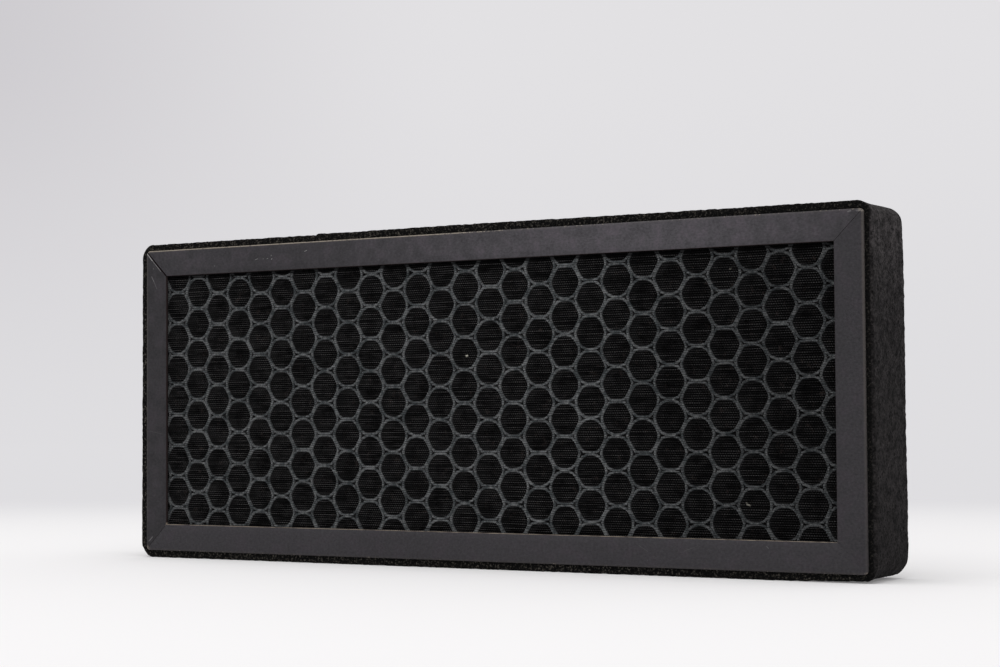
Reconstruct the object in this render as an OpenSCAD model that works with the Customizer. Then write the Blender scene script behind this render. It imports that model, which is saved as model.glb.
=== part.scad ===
// Air purifier filter: a slab of honeycomb tubes filled with carbon granules, faced with woven
// mesh, held in a folded card frame and sealed round its edge by a foam strip.
// The filter stands on its long edge. X runs along its length, the front faces -Y and +Z is up.
// The origin is under the middle of the filter, on the surface that it stands on.

/* [Card frame] */
// Length of the card frame, end to end
frame_length = 203; // [100:0.5:400]
// Height of the card frame as the filter stands
frame_height = 79.5; // [50:0.5:200]
// Depth of the card frame, from its front face to its back face
frame_depth = 20; // [12:0.5:50]
// Thickness of the card that the frame is folded from
card_thickness = 0.7; // [0.4:0.05:1.5]
// Width of the flange that is folded over each face
flange_width = 6.9; // [4:0.1:15]
// Radius of the frame's four upright corners
corner_radius = 1; // [0.3:0.1:3]
// Width of the mitre seams, where two flanges meet at 45 degrees
mitre_seam = 0.15; // [0.05:0.05:0.4]
// Width of the open seam at the top left, where the ends of the card strip meet
closing_seam = 0.5; // [0.2:0.05:1]

/* [Foam strip] */
// Thickness of the foam that is wrapped round the frame
foam_thickness = 1.9; // [1:0.1:6]
// Distance of the foam's front edge behind the frame's front face
foam_front_setback = 0.6; // [0:0.1:3]
// Distance of the foam's back edge from the frame's back face
foam_back_setback = 0.2; // [0:0.1:3]
// Gap between the two ends of the strip, in the joint on the top
foam_joint_gap = 0.3; // [0.1:0.1:2]
// Distance of the joint to the left of the middle
foam_joint_offset = 46; // [0:1:48]

/* [Honeycomb core] */
// Distance between the centres of neighbouring tubes
tube_pitch = 8; // [5:0.25:14]
// Thickness of one tube's wall, from its contact with the next tube to its bore
tube_wall = 0.45; // [0.2:0.05:0.9]
// How far the melted joint fills the void between three tubes
tube_fusion = 0.1; // [0:0.05:0.25]
// Space between the cut edge of the core and the inside of the card
core_clearance = 0.2; // [0.1:0.05:1]
// Distance from the middle of the frame to the nearest column of tubes on its right
lattice_shift_x = 5.5; // [0:0.1:6.9]
// Height of that column's middle tube above the middle of the frame
lattice_shift_z = -1.2; // [-4:0.1:4]

/* [Mesh] */
// Thickness of the woven mesh on each face of the core
mesh_thickness = 0.35; // [0.2:0.05:0.8]
// Distance between the centres of neighbouring horizontal threads
thread_pitch = 0.545; // [0.5:0.005:2]
// Width of a horizontal thread
thread_width = 0.25; // [0.1:0.05:0.45]

/* [Carbon granules] */
// Space between the granules and the walls of their cell
fill_clearance = 0.15; // [0.1:0.05:0.5]
// Space between the granules and the mesh on each face
fill_recess = 0.5; // [0.2:0.1:3]

/* [Hidden] */

// Margin by which a cutter passes the face that it cuts
cut_margin = 1;
// Least width of a cell or void that is cut at the core's edge
least_cut = 0.6;
corner_fn = 32;
cell_fn = 48;

window_length = frame_length - 2 * flange_width;
window_height = frame_height - 2 * flange_width;
middle_z = frame_height / 2 + foam_thickness;
foam_width = frame_depth - foam_front_setback - foam_back_setback;
foam_shift_y = (foam_front_setback - foam_back_setback) / 2;

core_length = frame_length - 2 * (card_thickness + core_clearance);
core_height = frame_height - 2 * (card_thickness + core_clearance);
core_depth = frame_depth - 2 * (card_thickness + mesh_thickness);

column_pitch = tube_pitch * sqrt(3) / 2;
cell_radius = tube_pitch / 2 - tube_wall;
// Distance from a tube's centre to the void that it shares with two neighbours
void_distance = tube_pitch / sqrt(3);
void_radius = 2 * (void_distance - tube_pitch / 2 - tube_fusion);
columns = ceil(core_length / column_pitch / 2) + 1;
rows = ceil(core_height / tube_pitch / 2) + 1;

function cell_centre(column, row) = [
    lattice_shift_x + column * column_pitch,
    lattice_shift_z + (row + (abs(column) % 2) / 2) * tube_pitch
];

// Whether a circle round a point reaches at least the least cut inside the core's outline
function reaches_core(point, radius) =
    abs(point.x) < core_length / 2 + radius - least_cut
    && abs(point.y) < core_height / 2 + radius - least_cut;

// Whether a circle round a point lies wholly inside the core's outline
function inside_core(point, radius) =
    abs(point.x) < core_length / 2 - radius - least_cut
    && abs(point.y) < core_height / 2 - radius - least_cut;

cells = [
    for (column = [-columns:columns], row = [-rows:rows])
        let (centre = cell_centre(column, row))
            if (reaches_core(centre, cell_radius)) centre
];

module in_place() {
    translate([0, 0, middle_z]) children();
}

// Stands a flat shape up in the plane of the filter and gives it a depth along Y
module upright(depth) {
    rotate([90, 0, 0])
        linear_extrude(height = depth, center = true)
            children();
}

module rounded_rectangle(length, height, radius) {
    for (side = [-1, 1], level = [-1, 1])
        translate([side * (length / 2 - radius), level * (height / 2 - radius)])
            circle(r = radius, $fn = corner_fn);
    square([length - 2 * radius, height], center = true);
    square([length, height - 2 * radius], center = true);
}

// The slot of one mitre, from just inside the card's outer wall to the open window
module mitre_cut(side, level, face) {
    start = card_thickness + mitre_seam;
    end = flange_width + cut_margin;
    middle = (start + end) / 2;
    translate([
        side * (frame_length / 2 - middle),
        face * (frame_depth - card_thickness) / 2,
        level * (frame_height / 2 - middle)
    ])
        rotate([0, -side * level * 45, 0])
            cube([(end - start) * sqrt(2), card_thickness + cut_margin, mitre_seam], center = true);
}

// The seam that runs through both flanges and the outer wall at the top left corner
module closing_cut() {
    start = -cut_margin;
    end = flange_width + cut_margin;
    middle = (start + end) / 2;
    translate([middle - frame_length / 2, 0, frame_height / 2 - middle])
        rotate([0, 45, 0])
            cube([(end - start) * sqrt(2), frame_depth + 2 * cut_margin, closing_seam], center = true);
}

module card_frame() {
    color("#3f3d41")
        in_place()
            difference() {
                upright(frame_depth)
                    rounded_rectangle(frame_length, frame_height, corner_radius);
                upright(frame_depth - 2 * card_thickness)
                    square(
                        [frame_length - 2 * card_thickness, frame_height - 2 * card_thickness],
                        center = true
                    );
                upright(frame_depth + 2 * cut_margin)
                    square([window_length, window_height], center = true);
                for (face = [-1, 1]) {
                    mitre_cut(1, 1, face);
                    mitre_cut(1, -1, face);
                    mitre_cut(-1, -1, face);
                }
                closing_cut();
            }
}

module foam_strip() {
    color("#1c1b1d")
        in_place()
            translate([0, foam_shift_y, 0])
                upright(foam_width)
                    difference() {
                        rounded_rectangle(
                            frame_length + 2 * foam_thickness,
                            frame_height + 2 * foam_thickness,
                            corner_radius + foam_thickness
                        );
                        rounded_rectangle(frame_length, frame_height, corner_radius);
                        translate([-foam_joint_offset, frame_height / 2 + foam_thickness / 2])
                            square([foam_joint_gap, foam_thickness + cut_margin], center = true);
                    }
}

module honeycomb_core() {
    color("#565c5e")
        in_place()
            upright(core_depth)
                difference() {
                    square([core_length, core_height], center = true);
                    for (centre = cells) {
                        translate(centre)
                            circle(r = cell_radius, $fn = cell_fn);
                        tube_voids(centre);
                    }
                }
}

// The two three-sided voids that belong to one tube, on its left and on its right
module tube_voids(centre) {
    for (side = [-1, 1]) {
        place = centre + [side * void_distance, 0];
        if (inside_core(place, void_radius))
            translate(place)
                rotate(side > 0 ? 0 : 180)
                    circle(r = void_radius, $fn = 3);
    }
}

module carbon_granules() {
    color("#17171a")
        in_place()
            upright(core_depth - 2 * fill_recess)
                intersection() {
                    square(
                        [core_length - 2 * fill_clearance, core_height - 2 * fill_clearance],
                        center = true
                    );
                    for (centre = cells)
                        translate(centre)
                            circle(r = cell_radius - fill_clearance, $fn = cell_fn);
                }
}

// A sheet with one long gap between each two horizontal threads, across the frame's window
module mesh_sheet() {
    gap_height = thread_pitch - thread_width;
    gaps = floor(window_height / thread_pitch);
    upright(mesh_thickness)
        difference() {
            square([core_length, core_height], center = true);
            for (gap = [1:gaps])
                translate([0, (gap - (gaps + 1) / 2) * thread_pitch])
                    square([window_length, gap_height], center = true);
        }
}

module front_mesh() {
    color("#101012")
        in_place()
            translate([0, -(core_depth + mesh_thickness) / 2, 0])
                mesh_sheet();
}

module back_mesh() {
    color("#101012")
        in_place()
            translate([0, (core_depth + mesh_thickness) / 2, 0])
                mesh_sheet();
}

card_frame();
foam_strip();
honeycomb_core();
carbon_granules();
front_mesh();
back_mesh();
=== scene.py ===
"""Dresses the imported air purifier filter: card frame, foam strip, honeycomb, granules and mesh.

Lengths are in millimetres up to the moment a mesh is made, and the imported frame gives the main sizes.
"""
import logging
import math
from dataclasses import dataclass, field
from enum import Enum
from typing import Iterable, Sequence, Union

import bpy
import numpy as np
from mathutils import Matrix, Vector, noise


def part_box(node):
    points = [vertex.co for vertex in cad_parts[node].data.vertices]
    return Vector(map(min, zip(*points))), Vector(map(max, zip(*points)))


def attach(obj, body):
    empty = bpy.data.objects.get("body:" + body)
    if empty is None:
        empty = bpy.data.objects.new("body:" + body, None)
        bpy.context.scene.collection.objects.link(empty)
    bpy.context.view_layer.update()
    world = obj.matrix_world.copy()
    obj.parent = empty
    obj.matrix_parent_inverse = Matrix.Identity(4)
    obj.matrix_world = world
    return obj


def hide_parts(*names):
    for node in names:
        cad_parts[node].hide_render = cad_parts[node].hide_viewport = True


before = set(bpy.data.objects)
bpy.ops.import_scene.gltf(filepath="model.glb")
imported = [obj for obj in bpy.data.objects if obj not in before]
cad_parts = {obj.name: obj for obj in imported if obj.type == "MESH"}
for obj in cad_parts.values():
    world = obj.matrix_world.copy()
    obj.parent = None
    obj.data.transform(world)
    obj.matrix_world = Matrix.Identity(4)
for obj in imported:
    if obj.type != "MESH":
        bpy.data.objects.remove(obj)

LOG = logging.getLogger("filter")
MM = 0.001
BODY = "root"
FLANGE = 6.9
STRAIGHT = 0.99

Colour = tuple[float, float, float]
Point = tuple[float, float]
Feed = Union["Value", bpy.types.NodeSocket, float, int, tuple]


class Value:
    """A number socket of a shader, used like a number in an expression."""

    def __init__(self, graph: "Graph", socket: bpy.types.NodeSocket) -> None:
        """Wraps one output socket.

        Args:
            graph: The shader that the socket belongs to.
            socket: The output socket.
        """
        self.graph = graph
        self.socket = socket

    def __add__(self, other: Feed) -> "Value":
        """Adds."""
        return self.graph.maths("ADD", self, other)

    def __radd__(self, other: Feed) -> "Value":
        """Adds, from the right."""
        return self.graph.maths("ADD", other, self)

    def __sub__(self, other: Feed) -> "Value":
        """Subtracts."""
        return self.graph.maths("SUBTRACT", self, other)

    def __rsub__(self, other: Feed) -> "Value":
        """Subtracts this value from another."""
        return self.graph.maths("SUBTRACT", other, self)

    def __mul__(self, other: Feed) -> "Value":
        """Multiplies."""
        return self.graph.maths("MULTIPLY", self, other)

    def __rmul__(self, other: Feed) -> "Value":
        """Multiplies, from the right."""
        return self.graph.maths("MULTIPLY", other, self)

    def __abs__(self) -> "Value":
        """Drops the sign."""
        return self.graph.maths("ABSOLUTE", self)

    def least(self, other: Feed) -> "Value":
        """Gives the lower of two values."""
        return self.graph.maths("MINIMUM", self, other)

    def most(self, other: Feed) -> "Value":
        """Gives the higher of two values."""
        return self.graph.maths("MAXIMUM", self, other)

    def root(self) -> "Value":
        """Gives the square root."""
        return self.graph.maths("SQRT", self)

    def wave(self) -> "Value":
        """Gives the sine."""
        return self.graph.maths("SINE", self)

    def step(self, low: float, high: float) -> "Value":
        """Rises smoothly from 0 at low to 1 at high, or falls if low is the higher of the two.

        Args:
            low: Where the result is 0.
            high: Where the result is 1.

        Returns:
            The stepped value, from 0 to 1.
        """
        settings = {"interpolation_type": "SMOOTHSTEP"}
        if low < high:
            inputs = {"Value": self, "From Min": low, "From Max": high}
        else:
            inputs = {"Value": self, "From Min": high, "From Max": low, "To Min": 1.0, "To Max": 0.0}
        return Value(self.graph, self.graph.node("ShaderNodeMapRange", settings, inputs).outputs["Result"])


class Graph:
    """The nodes of one material or world."""

    def __init__(self, tree: bpy.types.NodeTree) -> None:
        """Starts an empty graph.

        Args:
            tree: The node tree to fill.
        """
        tree.nodes.clear()
        self.tree = tree

    def node(
        self, kind: str, settings: dict[str, object] | None = None, inputs: dict[object, Feed] | None = None
    ) -> bpy.types.Node:
        """Makes any node.

        Args:
            kind: The node's type.
            settings: Its properties, set first.
            inputs: Values or links of its sockets, by name or number.

        Returns:
            The node.
        """
        made = self.tree.nodes.new(kind)
        for name, value in (settings or {}).items():
            setattr(made, name, value)
        for name, value in (inputs or {}).items():
            self.feed(made.inputs[name], value)
        return made

    def feed(self, socket: bpy.types.NodeSocket, value: Feed) -> None:
        """Links or sets one input socket.

        Args:
            socket: The input socket.
            value: A socket to link, or a number, colour or vector to set.
        """
        if isinstance(value, Value):
            self.tree.links.new(value.socket, socket)
        elif isinstance(value, bpy.types.NodeSocket):
            self.tree.links.new(value, socket)
        elif socket.type == "RGBA":
            socket.default_value = (*value, 1.0)
        else:
            socket.default_value = value

    def maths(self, operation: str, *values: Feed) -> Value:
        """Adds a Math node.

        Args:
            operation: The node's operation.
            values: Its inputs, in order.

        Returns:
            The result.
        """
        made = self.node("ShaderNodeMath", {"operation": operation}, dict(enumerate(values)))
        return Value(self, made.outputs[0])

    def position(self) -> bpy.types.NodeSocket:
        """Gives the point being shaded as a vector in millimetres."""
        place = self.node("ShaderNodeTexCoord").outputs["Object"]
        scaled = self.node("ShaderNodeVectorMath", {"operation": "SCALE"}, {0: place, "Scale": 1 / MM})
        return scaled.outputs["Vector"]

    def parts(self, vector: bpy.types.NodeSocket) -> tuple[Value, Value, Value]:
        """Splits a vector.

        Args:
            vector: The vector socket.

        Returns:
            Its X, Y and Z values.
        """
        split = self.node("ShaderNodeSeparateXYZ", inputs={0: vector})
        return Value(self, split.outputs[0]), Value(self, split.outputs[1]), Value(self, split.outputs[2])

    def stretched(
        self, vector: bpy.types.NodeSocket, scale: tuple[float, float, float]
    ) -> bpy.types.NodeSocket:
        """Scales a vector along its axes.

        Args:
            vector: The vector socket.
            scale: The three factors.

        Returns:
            The scaled vector.
        """
        made = self.node("ShaderNodeVectorMath", {"operation": "MULTIPLY"}, {0: vector, 1: scale})
        return made.outputs["Vector"]

    def noise(
        self, vector: bpy.types.NodeSocket, per_mm: float, detail: float = 3.0, roughness: float = 0.5
    ) -> Value:
        """Gives smooth noise from about 0.2 to 0.8.

        Args:
            vector: Where to read it, in millimetres.
            per_mm: Number of lumps in a millimetre.
            detail: Octaves of finer noise.
            roughness: Strength of the finer noise.

        Returns:
            The noise.
        """
        inputs = {"Vector": vector, "Scale": per_mm, "Detail": detail, "Roughness": roughness}
        return Value(self, self.node("ShaderNodeTexNoise", inputs=inputs).outputs["Fac"])

    def cells(self, vector: bpy.types.NodeSocket, per_mm: float) -> Value:
        """Gives the distance to the nearest point of a scatter of pores.

        Args:
            vector: Where to read it, in millimetres.
            per_mm: Number of pores in a millimetre.

        Returns:
            The distance, as a share of a pore's width.
        """
        made = self.node("ShaderNodeTexVoronoi", inputs={"Vector": vector, "Scale": per_mm})
        return Value(self, made.outputs["Distance"])

    def mix(self, share: Feed, first: Feed, second: Feed) -> bpy.types.NodeSocket:
        """Mixes two colours.

        Args:
            share: How much of the second one.
            first: The first colour.
            second: The second colour.

        Returns:
            The mixed colour.
        """
        made = self.node("ShaderNodeMix", {"data_type": "RGBA"}, {0: share, 6: first, 7: second})
        return made.outputs[2]

    def tinted(self, brightness: Value, colour: Feed) -> bpy.types.NodeSocket:
        """Multiplies a colour by a brightness.

        Args:
            brightness: The factor.
            colour: The colour.

        Returns:
            The brighter or darker colour.
        """
        made = self.node("ShaderNodeVectorMath", {"operation": "SCALE"}, {0: colour, "Scale": brightness})
        return made.outputs["Vector"]

    def bump(self, height: Value, depth: float, strength: float = 1.0) -> bpy.types.NodeSocket:
        """Turns a height into a normal.

        Args:
            height: The height, from 0 to 1.
            depth: What a height of 1 measures, in millimetres.
            strength: Share of the bump that shows.

        Returns:
            The normal.
        """
        inputs = {"Height": height, "Distance": depth * MM, "Strength": strength}
        return self.node("ShaderNodeBump", inputs=inputs).outputs["Normal"]

    def stroke(self, along: Value, up: Value, mark: "Mark") -> Value:
        """Draws one short straight scratch or fleck.

        Args:
            along: Distance along the filter.
            up: Height above the surface that it stands on.
            mark: The scratch.

        Returns:
            A mask, 1 on the scratch and 0 off it.
        """
        run = (mark.end[0] - mark.start[0], mark.end[1] - mark.start[1])
        length = math.hypot(*run)
        unit = (run[0] / length, run[1] / length)
        from_start = (along - mark.start[0], up - mark.start[1])
        travel = from_start[0] * unit[0] + from_start[1] * unit[1]
        past = (abs(travel - length / 2) - length / 2).most(0.0)
        aside = from_start[0] * unit[1] - from_start[1] * unit[0]
        distance = (past * past + aside * aside).root()
        return distance.step(mark.width / 2, mark.width / 4) * mark.strength


@dataclass(frozen=True)
class Mark:
    """A short scratch or fleck on the filter's front, from start to end."""

    start: Point
    end: Point
    width: float
    strength: float


def new_material(name: str) -> tuple[bpy.types.Material, Graph]:
    """Makes an empty material.

    Args:
        name: The material's name.

    Returns:
        The material and its graph.
    """
    material = bpy.data.materials.new(name)
    material.use_nodes = True
    return material, Graph(material.node_tree)


def finish_surface(graph: Graph, inputs: dict[str, Feed]) -> None:
    """Adds the main shader and the output.

    Args:
        graph: The material's graph.
        inputs: What goes into the main shader's sockets.
    """
    surface = graph.node("ShaderNodeBsdfPrincipled", inputs=inputs)
    graph.node("ShaderNodeOutputMaterial", inputs={"Surface": surface.outputs[0]})


def recess_shade(up: Value, window_top: float) -> Value:
    """Finds the strip just under the top flange, which the light from above does not reach.

    Args:
        up: Height above the surface that the filter stands on.
        window_top: Height of the top flange's lower edge.

    Returns:
        A mask, 1 in the dark strip and 0 below it.
    """
    return up.step(window_top - 1.2, window_top - 0.7)


@dataclass(frozen=True)
class CardFinish:
    """Dark grey paperboard: faint fibres, pale wear on the folds and corners, a few scratches, with painted
    sheen on the top flange and along the folds and painted shade on the end flanges.
    """

    half_length: float
    half_height: float
    middle_z: float
    front_y: float
    grey: Colour = (0.0415, 0.0390, 0.0430)
    violet: Colour = (0.0435, 0.0387, 0.0443)
    # Pale bare card, used for the real wear and also for the painted highlight along the folds.
    wear_and_sheen: Colour = (0.42, 0.36, 0.29)
    scratch: Colour = (0.36, 0.35, 0.35)
    marks: tuple[Mark, ...] = (
        Mark((-99.6, 74.5), (-98.8, 73.1), 0.2, 0.35),
        Mark((-98.8, 73.1), (-97.9, 71.3), 0.16, 0.2),
        Mark((-99.1, 76.9), (-98.9, 76.5), 0.2, 0.2),
        Mark((-64.9, 77.5), (-63.95, 77.75), 0.16, 0.45),
        Mark((-62.3, 77.6), (-62.2, 77.7), 0.2, 0.4),
        Mark((-61.0, 77.6), (-60.7, 77.7), 0.2, 0.45),
        Mark((-59.7, 78.3), (-59.6, 78.5), 0.2, 0.6),
        Mark((-59.5, 77.4), (-59.4, 77.6), 0.22, 0.7),
        Mark((-49.0, 78.95), (-48.3, 79.2), 0.2, 0.5),
        Mark((-78.3, 76.45), (-78.2, 76.55), 0.2, 0.35),
        Mark((46.0, 6.9), (48.3, 5.6), 0.1, 0.12),
        Mark((57.5, 5.9), (61.0, 7.2), 0.1, 0.10),
        Mark((-100.2, 33.4), (-95.8, 32.6), 0.1, 0.12),
        Mark((77.9, 7.5), (78.3, 7.1), 0.25, 0.16),
        Mark((-101.2, 80.7), (-99.4, 78.8), 0.3, 0.8),
        Mark((-99.4, 78.8), (-96.4, 75.8), 0.14, 0.55),
        Mark((-100.6, 4.2), (-99.3, 5.4), 0.22, 0.35),
        Mark((98.0, 80.75), (98.6, 80.9), 0.4, 0.2),
        Mark((100.0, 80.85), (101.2, 80.9), 0.5, 0.15),
    )

    def wear_of_corner(self, graph: Graph, along: Value, up: Value, corner: Point, reach: float) -> Value:
        """Rubs one corner pale.

        Args:
            graph: The material's graph.
            along: Distance along the filter, roughened.
            up: Height, roughened.
            corner: Which corner, as signs.
            reach: How far the wear goes.

        Returns:
            A mask, 1 where the card is bare.
        """
        right = along - corner[0] * self.half_length
        above = up - (self.middle_z + corner[1] * self.half_height)
        return (right * right + above * above).root().step(reach, reach * 0.35)

    def build(self) -> bpy.types.Material:
        """Makes the material.

        Returns:
            The finished material.
        """
        material, graph = new_material("dark_paperboard")
        place = graph.position()
        along, across, up = graph.parts(place)
        fibres = graph.noise(graph.stretched(place, (0.6, 1.0, 1.4)), 2.2, 4.0, 0.65)
        cloudy = graph.noise(place, 0.05, 2.0)
        blotches = graph.noise(place, 0.35, 3.0)
        patchy = graph.noise(place, 0.22, 2.0)
        ragged = graph.noise(place, 1.6, 4.0, 0.7)
        grains = graph.noise(place, 1.5, 3.0, 0.6)
        height = up - self.middle_z
        from_end = self.half_length - abs(along)
        from_level = self.half_height - abs(height)
        from_fold = from_end.least(from_level)
        end_strip = (from_level - from_end).step(-0.1, 0.1)
        top_strip = height.step(0.0, 1.0) * (1 - end_strip)
        # Painted sheen: the middle and right part of the top flange is painted brighter, standing in for
        # light from above.
        painted_top_sheen = along.step(-60.0, 45.0) * along.step(115.0, 50.0)
        left_strip = end_strip * along.step(0.0, -10.0)
        mottled = (blotches - 0.5) * (0.2 + top_strip.most(left_strip) * 0.6)
        level = -0.12 + fibres * 0.95 + cloudy * 0.22 + grains * 0.95 + mottled
        # Painted light and shade: the top flange is brightened by the painted sheen, and the end flanges,
        # the left one most, are painted darker as shade.
        level = level * (1.03 + top_strip * (painted_top_sheen * 0.75 - 0.06) - end_strip * 0.1 - left_strip * 0.14)
        card = graph.tinted(level, graph.mix(blotches.step(0.45, 0.7), self.grey, self.violet))
        to_left = along.step(25.0, -20.0)
        bias = top_strip * (0.02 + to_left * 0.22) + patchy.step(0.5, 0.62) * 0.04
        bias = bias - end_strip * along.step(0.0, 10.0) * 0.06
        fold_line = from_fold.step(0.36, 0.16) * (ragged + bias).step(0.6, 0.7)
        # Painted highlight: a faint pale line along every fold, stronger on the end folds towards the top,
        # stands in for light on the rounded fold.
        fold_sheen_line = from_fold.step(0.7, 0.1) * (0.03 + end_strip * height.step(-40.0, 30.0) * 0.06)
        rough_along = along + (ragged - 0.5) * 3.2
        rough_up = up + (patchy - 0.5) * 2.0
        corners = self.wear_of_corner(graph, rough_along, rough_up, (-1, 1), 1.3)
        for corner, reach in (((1, 1), 1.5), ((-1, -1), 1.5), ((1, -1), 0.7)):
            corners = corners.most(self.wear_of_corner(graph, rough_along, rough_up, corner, reach))
        # Real wear on the folds and corners, together with the painted fold highlight.
        wear_and_sheen = (fold_line * 0.6).most(corners * 0.4).most(fold_sheen_line)
        scratches = graph.stroke(along, up, self.marks[0])
        for mark in self.marks[1:]:
            scratches = scratches.most(graph.stroke(along, up, mark))
        flecks = graph.noise(place, 1.3, 2.0, 0.8).step(0.70, 0.76) * 0.10
        on_front = across.step(self.front_y + 0.9, self.front_y + 0.6)
        colour = graph.mix(wear_and_sheen * on_front, card, self.wear_and_sheen)
        colour = graph.mix(scratches.most(flecks) * on_front, colour, self.scratch)
        finish_surface(graph, {
            "Base Color": colour,
            "Roughness": 0.62 + fibres * 0.2,
            "Specular IOR Level": 0.16,
            "Normal": graph.bump(fibres * 0.5 + blotches * 0.2 + grains * 0.3, 0.07, 0.7),
        })
        return material


@dataclass(frozen=True)
class CardEdgeFinish:
    """The card's cut edge: its pale brown core shows along the bottom edge of the window, which faces up
    into the light, and the other edges are painted dark as shade.
    """

    middle_z: float
    window_height: float
    core: Colour = (0.30, 0.25, 0.20)
    dark: Colour = (0.045, 0.035, 0.035)
    # Painted shade for the cut edges that do not face up.
    edge_shade: Colour = (0.022, 0.015, 0.015)

    def build(self) -> bpy.types.Material:
        """Makes the material.

        Returns:
            The finished material.
        """
        material, graph = new_material("card_cut_edge")
        place = graph.position()
        _, _, up = graph.parts(place)
        layers = graph.noise(graph.stretched(place, (0.5, 4.0, 0.5)), 2.0, 3.0, 0.7)
        broken = graph.noise(place, 0.3, 2.0)
        low = self.middle_z - self.window_height / 2
        bare = graph.mix((layers * 0.6 + broken * 0.6).step(0.42, 0.68), self.dark, self.core)
        finish_surface(graph, {
            # Painted light and shade: the pale core shows only on the upward-facing bottom edge of the
            # window.
            "Base Color": graph.mix(abs(up - low).step(0.6, 0.2), self.edge_shade, bare),
            "Roughness": 0.9,
            "Specular IOR Level": 0.15,
            "Normal": graph.bump(layers, 0.06),
        })
        return material


@dataclass(frozen=True)
class FoamFinish:
    """Black open-pored foam with small dark pores and paler cell walls, painted brighter towards the top
    and darker near the floor on its sides, and painted dark as shade on its cut front face, with painted
    glints there.
    """

    front_y: float
    top_z: float
    end_x: float
    wall: Colour = (0.056, 0.0505, 0.0515)
    pore: Colour = (0.003, 0.003, 0.003)
    # Colour of the painted glints on the cut face.
    strand_glint: Colour = (0.075, 0.068, 0.058)

    def build(self) -> bpy.types.Material:
        """Makes the material.

        Returns:
            The finished material.
        """
        material, graph = new_material("porous_foam")
        place = graph.position()
        along, across, up = graph.parts(place)
        large = graph.cells(place, 1.0)
        small = graph.cells(place, 2.4)
        patches = graph.noise(place, 0.5, 3.0)
        strands = graph.noise(place, 2.0, 3.0, 0.7)
        front = across.step(self.front_y + 0.5, self.front_y + 0.15)
        open_pores = large.step(0.15, 0.55) * 0.6 + small.step(0.1, 0.5) * 0.4
        level = open_pores * patches.step(0.1, 0.8) * strands.step(0.1, 0.7)
        # Painted light: the sides are painted brighter towards the top and a little darker near the floor,
        # as light falls from above.
        painted_height_light = 0.68 + up.step(0.0, 26.0) * 0.13 + up.step(self.top_z - 26, self.top_z) * 0.95
        side = graph.tinted(painted_height_light, graph.mix(level, self.pore, self.wall))
        shaded = along.step(self.end_x - 5, self.end_x - 2) * 0.72
        under = along.step(20.0, 70.0) * up.step(6.0, 3.0)
        hidden = shaded.most(under * 0.1).most(along.step(0.0, 100.0) * (0.1 + up.step(10.0, 60.0) * 0.45))
        # Painted glints on the strands of the cut face, dimmed in the painted shade at the right end, along
        # the bottom and towards the right.
        glints = small.step(0.3, 0.55) * strands.step(0.5, 0.66) * (1 - hidden)
        # Painted shade: the cut front face is near-black pores with the painted glints, darker than the
        # sides.
        cut = graph.mix(glints, self.pore, self.strand_glint)
        # Near the right end's outer edge the front face takes the painted side colour, as the rounded edge
        # catches the light.
        front = front * (1 - along.step(self.end_x - 1.0, self.end_x - 0.4) * 0.8)
        finish_surface(graph, {
            "Base Color": graph.mix(front, side, cut),
            "Roughness": 0.9,
            "Specular IOR Level": 0.06,
            "Normal": graph.bump(open_pores * 0.6 + strands * 0.4, 0.45),
        })
        return material


@dataclass(frozen=True)
class TubeFinish:
    """Grey-white fused plastic tube: pale and a little shiny at its cut end, dusted with carbon inside."""

    half_depth: float
    window_top: float
    plastic: Colour = (0.345, 0.358, 0.365)
    dull: Colour = (0.088, 0.103, 0.110)
    dust: Colour = (0.010, 0.010, 0.011)
    dimming_to_right: float = 0.47

    def build(self) -> bpy.types.Material:
        """Makes the material.

        Returns:
            The finished material.
        """
        material, graph = new_material("tube_plastic")
        place = graph.position()
        along, across, up = graph.parts(place)
        cloudy = graph.noise(place, 0.35, 3.0)
        grit = graph.noise(place, 1.5, 3.0, 0.6)
        clean = graph.mix((cloudy * 0.4 + grit * 0.6).step(0.40, 0.62), self.dull, self.plastic)
        ragged = abs(across) + (grit - 0.5) * 0.3
        at_end = ragged.step(self.half_depth - 0.5, self.half_depth - 0.12)
        # The cut ends grow darker towards the right.
        at_end = at_end * (1 - along.step(25.0, 80.0) * self.dimming_to_right)
        at_end = at_end * (1 - recess_shade(up, self.window_top) * 0.9)
        finish_surface(graph, {
            "Base Color": graph.mix(at_end, self.dust, clean),
            "Roughness": 0.34 + grit * 0.2,
            "Specular IOR Level": 0.2,
            "Normal": graph.bump(grit, 0.06, 0.7),
        })
        return material


@dataclass(frozen=True)
class CarbonFinish:
    """Broken carbon granules: near black, some a little brown, with a dull glint."""

    window_top: float
    black: Colour = (0.0012, 0.0012, 0.0013)
    brown: Colour = (0.044, 0.0315, 0.0285)

    def build(self) -> bpy.types.Material:
        """Makes the material.

        Returns:
            The finished material.
        """
        material, graph = new_material("carbon_granules")
        place = graph.position()
        _, _, up = graph.parts(place)
        lumps = graph.noise(place, 0.55, 2.0)
        dust = graph.noise(place, 3.0, 3.0, 0.7)
        brown = (lumps * 0.7 + dust * 0.3).step(0.56, 0.70) * (1 - recess_shade(up, self.window_top))
        finish_surface(graph, {
            "Base Color": graph.mix(brown, self.black, self.brown),
            "Roughness": 0.45 + dust * 0.3,
            "Specular IOR Level": 0.02,
            "Normal": graph.bump(dust, 0.12),
        })
        return material


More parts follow.
